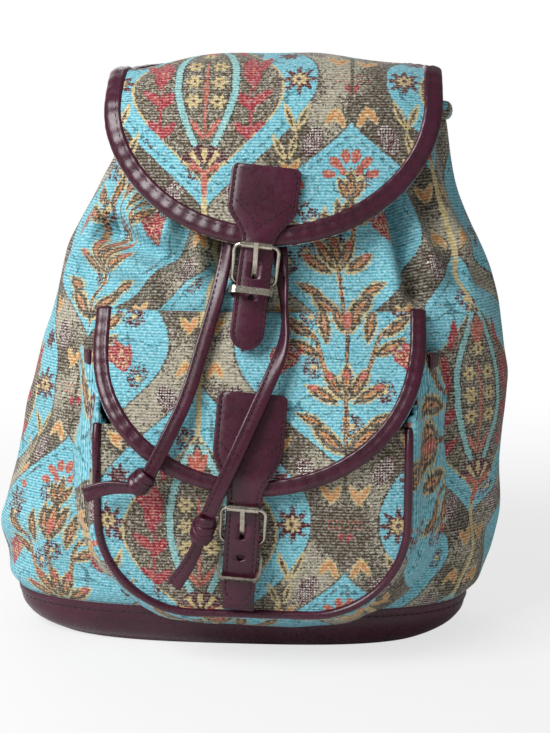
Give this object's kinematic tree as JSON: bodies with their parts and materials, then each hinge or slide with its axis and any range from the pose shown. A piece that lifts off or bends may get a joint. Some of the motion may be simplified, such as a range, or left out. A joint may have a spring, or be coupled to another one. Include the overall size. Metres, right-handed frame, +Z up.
{
  "type": "backpack",
  "caption": "Tapestry drawstring rucksack with leather trim, a buckled top flap over a gathered mouth and a buckled bellows front pocket.",
  "frame": {"origin": "centre of the boot's flat underside", "axes": "+Z up through the mouth, -Y towards the pocket and the flap's buckle, +X to the right as seen from the front"},
  "size_m": [0.3319, 0.226, 0.3713],
  "materials": {
    "tapestry": "woven",
    "leather": "semi-gloss grained",
    "hardware": "nickel plated"
  },
  "bodies": {
    "bag": {"back_panel": "tapestry", "base_boot": "leather", "drawstring_left": "leather", "drawstring_right": "leather", "drawstring_tail_left": "leather", "drawstring_tail_right": "leather", "eyelet_left": "hardware", "eyelet_right": "hardware", "flap_binding": "leather", "flap_buckle_frame": "hardware", "flap_chape": "leather", "flap_panel": "tapestry", "flap_tab": "leather", "front_wrap": "tapestry", "grab_loop": "leather", "knot_left": "leather", "knot_right": "leather", "lower_strap_left": "leather", "lower_strap_right": "leather", "mouth_hem": "tapestry", "pocket_buckle_frame": "hardware", "pocket_chape": "leather", "pocket_flap": "tapestry", "pocket_flap_binding": "leather", "pocket_front": "tapestry", "pocket_gusset": "tapestry", "pocket_piping": "leather", "pocket_side_tab_left": "leather", "pocket_side_tab_right": "leather", "pocket_tab": "leather", "shoulder_strap_left": "leather", "shoulder_strap_right": "leather", "strap_adjuster_left": "hardware", "strap_adjuster_right": "hardware", "strap_anchor_left": "leather", "strap_anchor_right": "leather", "strap_yoke": "leather"},
    "flap_roller": {"flap_buckle_roller": "hardware"},
    "flap_prong": {"flap_buckle_prong": "hardware"},
    "flap_keeper_loop": {"flap_keeper": "hardware"},
    "pocket_roller": {"pocket_buckle_roller": "hardware"},
    "pocket_prong": {"pocket_buckle_prong": "hardware"},
    "pocket_keeper_loop": {"pocket_keeper": "hardware"}
  },
  "joints": [
    {"name": "flap_roller_spin", "type": "hinge", "parent": "bag", "child": "flap_roller", "pos_m": [0.0156, -0.08683, 0.25715], "axis": [0.994, -0.0191, -0.1081], "continuous": true},
    {"name": "flap_prong_lift", "type": "hinge", "parent": "bag", "child": "flap_prong", "pos_m": [0.01319, -0.08255, 0.23419], "axis": [0.994, -0.0191, -0.1081], "range_deg": [0, 8]},
    {"name": "flap_keeper_swing", "type": "hinge", "parent": "bag", "child": "flap_keeper_loop", "pos_m": [0.01236, -0.08264, 0.22664], "axis": [0.994, -0.0191, -0.1081], "range_deg": [-15, 62]},
    {"name": "pocket_roller_spin", "type": "hinge", "parent": "bag", "child": "pocket_roller", "pos_m": [0.0098, -0.1179, 0.10809], "axis": [0.9976, -0.0012, -0.0697], "continuous": true},
    {"name": "pocket_prong_lift", "type": "hinge", "parent": "bag", "child": "pocket_prong", "pos_m": [0.00826, -0.11008, 0.086], "axis": [0.9976, -0.0012, -0.0697], "range_deg": [0, 8]},
    {"name": "pocket_keeper_swing", "type": "hinge", "parent": "bag", "child": "pocket_keeper_loop", "pos_m": [0.00774, -0.10899, 0.0785], "axis": [0.9976, -0.0012, -0.0697], "range_deg": [-77, 0]}
  ]
}
